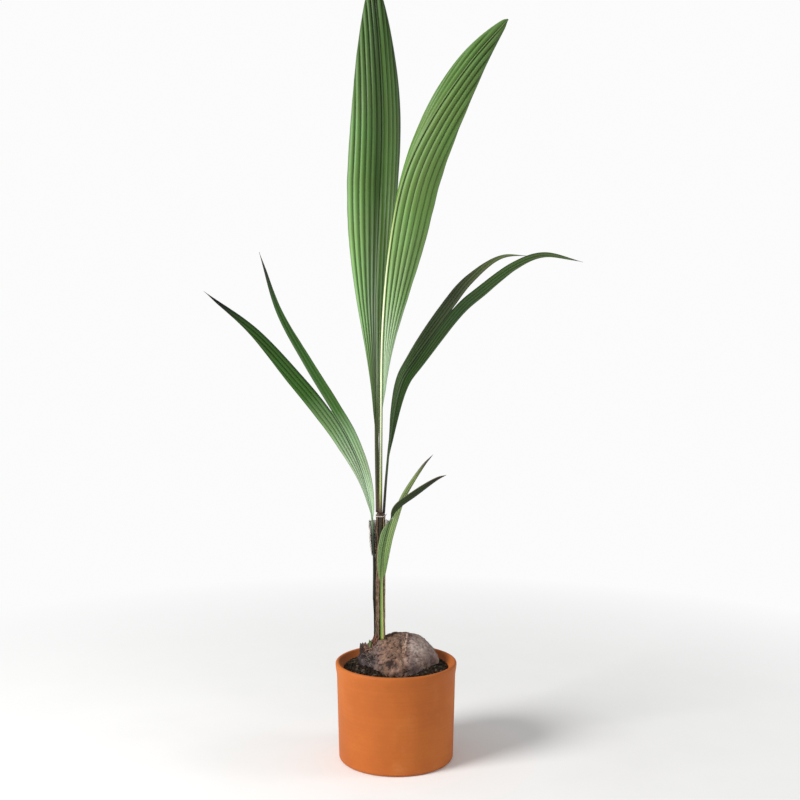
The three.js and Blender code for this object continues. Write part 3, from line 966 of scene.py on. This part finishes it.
def makeCloth():
    bpy.ops.mesh.primitive_grid_add(x_subdivisions=120, y_subdivisions=72, size=1)
    piece = bpy.context.object
    edges = []

    def sheetPlace(point):
        u, v = point.x + 0.5, point.y + 0.5
        frayTop = 2.2 * ripple(u * 7, 1, 0) + 2.0 * ripple(u * 34, 1, 5)
        fraySide = 4 * ripple(v * 6, 3, 0) + 4 * ripple(v * 26, 3, 2)
        share = mix(0.02, 0.96 + frayTop * 0.02, v)
        degrees = mix(cloth["from"] - fraySide, cloth["to"] + fraySide, u)
        out = 0.6 * ripple(u * 8, v * 5, 8) + 0.25 * ripple(u * 60, v * 40, 8)
        edges.append(clamp(ease(0.2, 0.0, v) + 0.6 * ease(0.9, 1, u)))
        return clothPlace(share, degrees, out) * mm

    shapePoints(piece, sheetPlace)
    addValues(piece, "edge", edges)
    applyModifier(piece, "SOLIDIFY", thickness=0.6 * mm, offset=0)
    mergeAndTurnOut(piece)
    material, tree, shader, place = newMaterial("fibreCloth")
    cells = addNode(tree, "TexVoronoi", {"Vector": place, "Scale": 620.0}, feature="DISTANCE_TO_EDGE")
    net = cells.outputs[0]
    patch = streaks(tree, place, (120, 120, 70), 4.0, 0.7)
    tone = ramp(tree, patch, [(0.36, (168, 164, 156)), (0.5, (228, 226, 221)), (0.66, (252, 251, 248))])
    tone = blend(tree, remap(tree, net, 0.02, 0.14, 0, 0.45), tone, paint(96, 90, 78))
    tone = blend(tree, times(tree, valueOf(tree, "edge"), 0.25), tone, paint(132, 110, 92))
    setFinish(tree, shader, tone, 0.9, relief(tree, net, 0.7, 0.0008), 0.15)
    finishPiece(piece, "clothSheet", material, ["fibre_sheath"])

    threads = []
    for i in range(cloth["threads"]):
        slant = dice.choice((-1, 1)) * dice.uniform(25, 60)
        start = dice.uniform(cloth["from"] - 4, cloth["to"] + 4)
        low = dice.uniform(0.0, 0.6)
        rise = dice.uniform(0.25, 0.5)
        out = dice.choice((-0.7, 0.7)) + dice.gauss(0, 0.15)
        thick = dice.uniform(0.16, 0.34)
        thread = []
        for k in range(8):
            s = k / 7
            degrees = start + slant * rise * s * 2
            if not cloth["from"] - 8 < degrees < cloth["to"] + 8:
                break
            stray = 0.5 * ripple(i, s * 3, 0)
            place = clothPlace(min(low + rise * s, 1.0), degrees, out + stray)
            thread.append((place * mm, thick * (1 - 0.4 * s) * mm))
        if len(thread) > 3:
            threads.append(thread)
    makeStrands(threads, 0, "clothThreads", (136, 128, 114), (236, 232, 224), 150.0)
    print("cloth made")


makeCloth()


# Leaves: a rib with a pleated half blade on each side

# turn and curl are in degrees at the rib's foot and at the tip; the groove shade is how light the grooves
# stay, a painted shade in the pleats' creases; shading scales the colour from the rib out to the margin, a
# painted shade; the crest highlight, a painted highlight, gives where along the leaf it starts, peaks and
# ends, its weight and how far out it reaches
halfDefaults = {
    "turnLate": 1, "curl": (14, 14), "rows": 150, "lobe": (), "pinch": None, "crestHighlight": None,
    "shading": (0.3, 1.0, 1.0, 1.0), "grooveShade": 0.45, "rim": (58, 62, 40),
}

leaves = [
    {
        "name": "tallLeft", "node": "tall_left", "ribRadius": (3.7, 0.9),
        "rib": [(-30, 19, 407), (-32, 20, 527), (-32, 23, 617), (-32, 28, 757),
                (-25, 36, 920), (-22, 42, 1051), (-27, 50, 1166), (-37, 62, 1283)],
        # the pale band a third to half of the way up is a painted highlight
        "ribTones": [(0.0, (70, 50, 36)), (0.06, (58, 56, 28)), (0.2, (84, 100, 50)),
                     (0.34, (196, 220, 176)), (0.5, (186, 214, 158)), (0.64, (96, 130, 66)),
                     (1.0, (70, 94, 48))],
        "halves": {
            "left": {
                "side": -1, "width": 59, "start": 0.08, "peak": 0.61, "rise": 2.5, "fall": 0.75,
                "turn": (-25, -12), "turnLate": 3, "curl": (60, 26), "pleats": 6, "rows": 190,
                "shading": (0.1, 0.6, 0.6, 1.0), "grooveShade": 0.56, "crestHighlight": (0.16, 0.38, 0.6, 1.0, 0.6),
                "tones": [(0.08, (62, 84, 34)), (0.2, (84, 114, 56)), (0.36, (128, 164, 106)),
                          (0.5, (118, 156, 88)), (0.62, (100, 137, 70)), (0.8, (76, 112, 48)),
                          (1.0, (64, 92, 42))],
            },
            "right": {
                "side": 1, "width": 54, "start": 0.08, "peak": 0.61, "rise": 1.8, "fall": 0.7,
                "turn": (70, 36), "turnLate": 3, "curl": (36, 26), "pleats": 5, "rows": 190,
                "shading": (0.5, 1.0, 1.2, 0.2), "grooveShade": 0.12, "crestHighlight": (0.16, 0.42, 0.64, 1.0, 0.9),
                "tones": [(0.08, (54, 72, 28)), (0.2, (90, 120, 62)), (0.38, (126, 158, 92)),
                          (0.5, (122, 156, 86)), (0.62, (96, 132, 64)), (1.0, (62, 90, 40))],
            },
        },
    },
    {
        "name": "tallRight", "node": "tall_right", "ribRadius": (3.2, 0.9),
        "rib": [(-26, 11, 407), (-24.7, 9, 561), (-22, 6, 708), (-10.5, 1, 837),
                (11.5, -6, 948), (52.5, -12, 1037), (114, -20, 1126), (176, -30, 1195)],
        # a pale yellow-green stalk, made near white low down by a painted highlight
        "ribTones": [(0.0, (104, 74, 54)), (0.05, (222, 232, 140)), (0.12, (248, 253, 218)),
                     (0.45, (240, 248, 200)), (0.6, (160, 184, 104)), (0.7, (104, 134, 66)),
                     (1.0, (84, 110, 56))],
        "ribLeft": [(0.0, (66, 44, 34)), (0.05, (52, 58, 24)), (0.3, (58, 76, 32)), (0.6, (96, 126, 62)),
                    (1.0, (84, 110, 56))],
        "ribRight": [(0.0, (84, 60, 44)), (0.05, (96, 124, 48)), (0.3, (118, 148, 84)),
                     (0.6, (116, 146, 84)), (1.0, (84, 110, 56))],
        "halves": {
            "left": {
                "side": -1, "width": 41, "start": 0.2, "peak": 0.54, "rise": 1.4, "fall": 0.65,
                "turn": (135, 6), "turnLate": 2.2, "curl": (12, 20), "pleats": 4, "rows": 170,
                "grooveShade": 0.75, "rim": (132, 158, 100),
                "tones": [(0.2, (98, 132, 62)), (0.6, (94, 131, 58)), (1.0, (76, 105, 46))],
            },
            "right": {
                "side": 1, "width": 60, "start": 0.17, "peak": 0.61, "rise": 2, "fall": 1,
                "turn": (16, 20), "turnLate": 2, "curl": (40, 30), "pleats": 6, "rows": 190,
                "grooveShade": 0.58, "crestHighlight": (0.15, 0.28, 0.5, 0.6, 0.75),
                # the pale start of this half is a painted silvery sheen
                "tones": [(0.17, (162, 188, 150)), (0.31, (174, 202, 160)), (0.42, (124, 158, 94)),
                          (0.6, (101, 137, 65)), (0.8, (90, 123, 56)), (1.0, (66, 91, 40))],
            },
        },
    },
    {
        "name": "leftFrond", "node": "left_frond", "ribRadius": (2.3, 0.8),
        "rib": [(-36.4, 12, 262), (-36.6, 10, 334), (-40.6, -2, 414), (-53, -10, 474),
                (-78, -20, 534), (-104, -28, 579)],
        # the rib is pale, with a painted silvery sheen where it is palest
        "ribTones": [(0.0, (20, 24, 14)), (0.34, (30, 46, 24)), (0.46, (120, 150, 104)),
                     (0.6, (204, 226, 198)), (1.0, (140, 174, 124))],
        "halves": {
            "low": {
                "side": -1, "width": 26, "start": 0.22, "peak": 0.58, "rise": 1.4, "fall": 1.1,
                "turn": (-32, -20), "pleats": 4, "grooveShade": 0.6,
                "lobe": [(-147, -38, 634), (-219, -54, 712), (-300, -68, 770)],
                "crestHighlight": (0.24, 0.4, 0.6, 0.3, 0.75),
                # a pale base with a painted silvery sheen
                "tones": [(0.28, (178, 200, 166)), (0.4, (170, 196, 156)), (0.5, (120, 154, 98)),
                          (0.62, (54, 98, 28)), (0.85, (38, 74, 16)), (0.94, (14, 22, 8)),
                          (1.0, (12, 12, 8))],
            },
            "high": {
                "side": 1, "width": 18, "start": 0.22, "peak": 0.55, "rise": 0.9, "fall": 1,
                "turn": (-32, -20), "pleats": 3, "grooveShade": 0.6,
                "lobe": [(-148, -36, 654), (-190, -47, 737), (-215, -54, 831)],
                "crestHighlight": (0.24, 0.4, 0.6, 0.3, 0.75),
                # a pale base with a painted silvery sheen
                "tones": [(0.28, (172, 194, 160)), (0.4, (146, 174, 130)), (0.54, (58, 96, 34)),
                          (0.85, (36, 70, 16)), (0.94, (16, 26, 8)), (1.0, (12, 12, 8))],
            },
        },
    },
    {
        "name": "rightFrond", "node": "right_frond", "ribRadius": (2.4, 0.8),
        "rib": [(-20.5, 19, 405), (-15.5, 24, 473), (-8, 30, 542), (8, 40, 616),
                (35, 50, 661), (94, 70, 741)],
        "ribTones": [(0.0, (48, 34, 28)), (0.12, (46, 42, 26)), (0.28, (62, 88, 38)), (0.6, (54, 80, 36)),
                     (1.0, (50, 72, 36))],
        "halves": {
            "long": {
                "side": 1, "width": 19.5, "start": 0.13, "peak": 0.6, "rise": 1.15, "fall": 1.1,
                "turn": (36, 20), "pleats": 4,
                "lobe": [(138, 82, 780), (198, 98, 822), (254, 112, 839), (321, 126, 823)],
                "tones": [(0.16, (44, 64, 26)), (0.35, (62, 94, 38)), (0.6, (54, 82, 38)),
                          (0.85, (76, 102, 52)), (0.95, (82, 102, 58)), (1.0, (92, 88, 72))],
            },
            "short": {
                "side": -1, "width": 20, "start": 0.18, "peak": 0.66, "rise": 1.6, "fall": 2,
                # the grey margin of this upper half is a painted grey sheen
                "turn": (36, 20), "pleats": 4, "rim": (96, 92, 100),
                "lobe": [(131, 86, 788), (180, 104, 827), (240, 124, 833)],
                "tones": [(0.18, (60, 84, 38)), (0.45, (76, 100, 56)), (0.7, (84, 94, 66)),
                          (0.86, (106, 122, 74)), (1.0, (124, 154, 84))],
            },
        },
    },
    {
        "name": "smallLeaf", "node": "small_leaf", "ribRadius": (3, 0.9),
        "rib": [(-23.5, 4.2, 197), (-23.8, 3.4, 285), (-22.5, 2, 330), (-17.5, -0.8, 364), (-7, -4, 399)],
        "ribTones": [(0.0, (132, 166, 54)), (0.4, (120, 152, 66)), (0.6, (80, 104, 48)),
                     (1.0, (96, 120, 70))],
        "ribLeft": [(0.0, (38, 64, 16)), (0.4, (56, 84, 34)), (0.6, (58, 80, 36)), (1.0, (88, 112, 64))],
        # the stalk's right side is bright green with a painted yellow highlight, strongest low down
        "ribRight": [(0.0, (238, 234, 152)), (0.4, (204, 212, 130)), (0.6, (170, 192, 136)),
                     (1.0, (134, 158, 104))],
        "halves": {
            "light": {
                "side": 1, "width": 9, "start": 0.3, "peak": 0.5, "rise": 0.7, "fall": 0.7,
                "turn": (8, 8), "curl": (10, 10), "pleats": 3, "rows": 110,
                "lobe": [(8.5, -7, 440), (39, -11, 486), (59.5, -14, 507)],
                "tones": [(0.3, (116, 148, 82)), (0.6, (134, 158, 98)), (0.85, (120, 140, 78)),
                          (0.95, (72, 62, 44)), (1.0, (60, 46, 36))],
            },
            "dark": {
                "side": -1, "width": 10.5, "start": 0.3, "peak": 0.78, "rise": 0.5, "fall": 0.8,
                "turn": (-18, -24), "curl": (10, 10), "pleats": 3, "rows": 110,
                "pinch": {"at": 0.62, "over": 0.05, "by": 0.85}, "rim": (150, 142, 112),
                "lobe": [(7.2, -13, 419), (33, -20, 439), (64.6, -32, 465), (81, -38, 476)],
                "tones": [(0.3, (124, 152, 92)), (0.58, (118, 146, 92)), (0.63, (44, 62, 22)),
                          (0.88, (34, 50, 16)), (0.96, (46, 34, 24)), (1.0, (50, 34, 28))],
            },
        },
    },
]

pleating = {
    "columns": 8,       # columns of faces in a pleat
    "slack": 1.13,      # a pleat's own width as a share of its widest spacing
    "closing": 0.35,    # how far the pleats draw together by the tip
    "deepest": 0.62,    # a pleat's depth as a share of its spacing, at most
    "rounding": 0.8, "uneven": 0.22, "drift": 1.4,
    "thick": 0.5, "join": 1.2, "leastWidth": 0.4,
}


def smoothPath(points):  # a smooth curve through the points, as close places and the length up to each
    knots = [Vector(point) * mm for point in points]
    knots = [knots[0] * 2 - knots[1], *knots, knots[-1] * 2 - knots[-2]]
    places = []
    for i in range(len(knots) - 3):
        before, here, there, after = knots[i:i + 4]
        for step in range(40):
            s = step / 40
            places.append((here * 2 + (there - before) * s
                           + (before * 2 - here * 5 + there * 4 - after) * s * s
                           + (here * 3 - before - there * 3 + after) * s ** 3) / 2)
    places.append(knots[-2])
    lengths = [0.0]
    for a, b in zip(places, places[1:]):
        lengths.append(lengths[-1] + (b - a).length)
    return places, lengths


def slopeAt(places, k):
    return (places[min(k + 1, len(places) - 1)] - places[max(k - 1, 0)]).normalized()


def pathFrame(path, share):  # place, and the directions along, across to the right, and back
    places, lengths = path
    target = clamp(share) * lengths[-1]
    i = min(max(bisect_right(lengths, target) - 1, 0), len(places) - 2)
    part = (target - lengths[i]) / (lengths[i + 1] - lengths[i])
    along = slopeAt(places, i).lerp(slopeAt(places, i + 1), part).normalized()
    back = (Vector((0, 1, 0)) - along * along.y).normalized()
    return places[i].lerp(places[i + 1], part), along, back.cross(along), back


def widthShare(half, t):
    inward = clamp((t - half["start"]) / (half["peak"] - half["start"]))
    outward = clamp((t - half["peak"]) / (1 - half["peak"]))
    share = math.sin(math.pi / 2 * inward) ** half["rise"]
    share *= abs(math.cos(math.pi / 2 * outward)) ** half["fall"]
    pinch = half["pinch"]
    if pinch:
        share *= 1 - pinch["by"] * hump(t, pinch["at"], pinch["over"])
    return share


def makeHalf(leaf, key, half, seed):
    path = smoothPath([*leaf["rib"], *half["lobe"]])
    ribShare = smoothPath(leaf["rib"])[1][-1] / path[1][-1]
    pleats, side, width = half["pleats"], half["side"], half["width"] * mm
    bpy.ops.mesh.primitive_grid_add(x_subdivisions=pleats * pleating["columns"],
                                    y_subdivisions=half["rows"], size=1)
    piece = bpy.context.object
    rows = {}
    phases, shares, spans, margins = [], [], [], []

    def rowAt(v):
        t = mix(half["start"], 1, v)
        place, along, across, back = pathFrame(path, t)
        share = widthShare(half, t)
        waviness = 1 + 0.012 * ripple(t * 30, seed, 0)
        reach = max(pleating["leastWidth"] * mm, width * share * waviness)
        late = clamp((t - half["peak"]) / (1 - half["peak"]))
        spread = max(reach, width * (share if late <= 0 else 1 - pleating["closing"] * late ** 1.5))
        ribRadius = mix(*leaf["ribRadius"], min(1, t / ribShare)) * mm
        turn = math.radians(mix(*half["turn"], t ** half["turnLate"]))
        curl = math.radians(mix(*half["curl"], t ** half["turnLate"]))
        pitch, fullPitch = spread / pleats, width / pleats
        slack = (pleating["slack"] * fullPitch) ** 2 - pitch ** 2
        depth = min(0.5 * math.sqrt(max(0, slack)), pleating["deepest"] * pitch) * clamp(reach / (2 * pitch))
        depth *= mix(0.4, 1, ease(0, 18 * mm, reach))
        return t, place, along, across, back, reach, spread, ribRadius, turn, curl, depth

    def bladePlace(point):
        u, v = point.x + 0.5, round(point.y + 0.5, 5)
        if v not in rows:
            rows[v] = rowAt(v)
        t, place, along, across, back, reach, spread, ribRadius, turn, curl, depth = rows[v]
        phase = min(u * pleats, pleats * reach / spread)
        away = spread * phase / pleats
        bend = min(1, away / reach)
        first, angle = turn - curl / 2, turn - curl / 2 + curl * bend
        grown = ease(0, 4 * mm, reach)  # the blade comes out of the rib without a step
        ribGap = 0.5 * ribRadius
        if phase > 0:
            ribGap = mix(ribGap, ribRadius + pleating["join"] * mm, grown)
        outwards = across * side * math.cos(first) + back * math.sin(first)
        place = place + outwards * ribGap
        place += (across * side * (math.sin(angle) - math.sin(first))
                  + back * (math.cos(first) - math.cos(angle))) * (reach / curl)
        outwards = across * side * math.cos(angle) + back * math.sin(angle)
        face = along.cross(outwards).normalized() * -side
        ridge = abs(math.sin(math.pi * phase)) ** pleating["rounding"]
        own = 1 + pleating["uneven"] * ripple(math.floor(phase) * 3.7, t * 3, seed)
        drift = pleating["drift"] * mm * ripple(t * 5, phase * 0.3, seed + 4) * ease(0, 20 * mm, away)
        flat = ease(0, 0.8 * spread / pleats, reach - away)  # the pleats run out at the margin
        phases.append(phase)
        shares.append(t)
        spans.append(bend)
        margins.append((reach - away) / mm)
        return place + face * (depth * flat * (ridge * own - 0.4) + drift)

    shapePoints(piece, bladePlace)
    addValues(piece, "phase", phases)
    addValues(piece, "lengthways", shares)
    addValues(piece, "span", spans)
    addValues(piece, "margin", margins)
    mergeAndTurnOut(piece, 0.00003)
    applyModifier(piece, "SOLIDIFY", thickness=pleating["thick"] * mm, offset=0)
    mergeAndTurnOut(piece)
    name = leaf["name"] + key.title()
    finishPiece(piece, name, bladeFinish(name, half, seed), [f"{leaf['node']}_{key}_half"])


def bladeFinish(name, half, seed):
    material, tree, shader, place = newMaterial(name)
    phase, t, span, margin = (valueOf(tree, key) for key in ("phase", "lengthways", "span", "margin"))
    tone = ramp(tree, t, half["tones"])
    ridge = calc(tree, "ABSOLUTE", calc(tree, "SINE", times(tree, phase, math.pi)))
    inputs = {0: times(tree, phase, 9.0), 1: times(tree, t, 7.0), 2: seed}
    lines = addNode(tree, "CombineXYZ", inputs).outputs[0]
    streak = speckle(tree, lines, 1.0, 3.0, 0.6)
    finer = addNode(tree, "VectorMath", {0: lines, 1: (5, 1.5, 1)}, operation="MULTIPLY").outputs[0]
    veins = speckle(tree, finer, 1.0, 2.0, 0.5)
    cloud = speckle(tree, place, 14.0, 3.0)
    wide = remap(tree, t, half["start"], half["start"] + 0.22, 0.15, 1)  # markings fade where it is narrow
    # painted shade in the grooves between the pleats
    value = remap(tree, ridge, 0.0, 0.45, half["grooveShade"] - 1, 0.0)
    value = plus(tree, times(tree, value, wide), 1.0)
    # painted shade across the half, from the rib out to the margin, as the shading values give
    value = times(tree, value, remap(tree, span, *half["shading"]))
    marks = plus(tree, swing(tree, streak, -0.16, 0.16), swing(tree, veins, -0.07, 0.07))
    value = times(tree, value, plus(tree, times(tree, marks, wide), 1.0))
    value = times(tree, value, swing(tree, cloud, 0.92, 1.08))
    tone = shade(tree, tone, value, swing(tree, cloud, 0.49, 0.51))
    if half["crestHighlight"]:  # painted highlights on the crests near the rib over part of the length
        low, middle, high, weight, out = half["crestHighlight"]
        highlight = times(tree, remap(tree, ridge, 0.76, 1.0, 0, weight), remap(tree, span, 0.1, out, 1, 0))
        highlight = times(tree, highlight, remap(tree, t, low, middle, 0, 1))
        highlight = times(tree, highlight, remap(tree, t, middle, high, 1, 0))
        tone = blend(tree, times(tree, highlight, wide), tone, paint(220, 238, 208))
    rim = times(tree, remap(tree, margin, 0.0, 1.3, 1, 0), 0.5)
    tone = blend(tree, rim, tone, paint(*half["rim"]))
    bumps = relief(tree, veins, times(tree, wide, 0.25), 0.0005,
                   relief(tree, streak, times(tree, wide, 0.3), 0.0008))
    setFinish(tree, shader, tone, swing(tree, streak, 0.36, 0.5), bumps, 0.3)
    return material


def makeRib(leaf):
    path = smoothPath(leaf["rib"])
    rod = []
    for i in range(81):
        share = i / 80
        place = pathFrame(path, share)[0]
        rod.append((place, mix(*leaf["ribRadius"], share) * mm))
    piece = drawRods([rod], 4)
    low, high = leaf["rib"][0][2] * mm, leaf["rib"][-1][2] * mm
    levels = [place.z for place, radius in rod]
    shares, sides = [], []
    for point in piece.data.vertices:
        place, along, across, back = pathFrame(path, bisect_right(levels, point.co.z) / 80)
        shares.append(clamp((point.co.z - low) / (high - low)))
        sides.append(clamp(0.5 + 0.5 * (point.co - place).dot(across) / (rod[0][1] * 0.8)))
    addValues(piece, "lengthways", shares)
    addValues(piece, "side", sides)
    name = leaf["name"] + "Rib"
    material, tree, shader, place = newMaterial(name)
    t, side = valueOf(tree, "lengthways"), valueOf(tree, "side")
    inputs = {0: times(tree, side, 7.0), 1: times(tree, t, 16.0), 2: leaf["ribRadius"][0]}
    lines = addNode(tree, "CombineXYZ", inputs).outputs[0]
    fibre = speckle(tree, lines, 1.0, 4.0, 0.6)
    tone = ramp(tree, t, leaf["ribTones"])
    if "ribLeft" in leaf:
        tone = blend(tree, remap(tree, side, 0.15, 0.3, 1, 0), tone, ramp(tree, t, leaf["ribLeft"]))
        tone = blend(tree, remap(tree, side, 0.62, 0.78, 0, 1), tone, ramp(tree, t, leaf["ribRight"]))
    tone = shade(tree, tone, swing(tree, fibre, 0.78, 1.2))
    setFinish(tree, shader, tone, 0.5, relief(tree, fibre, 0.15, 0.0003))
    finishPiece(piece, name, material, [leaf["node"] + "_rib"])


for number, leaf in enumerate(leaves):
    makeRib(leaf)
    for key, half in leaf["halves"].items():
        makeHalf(leaf, key, halfDefaults | half, 10.0 * number + len(key))
    print("leaf made:", leaf["name"])
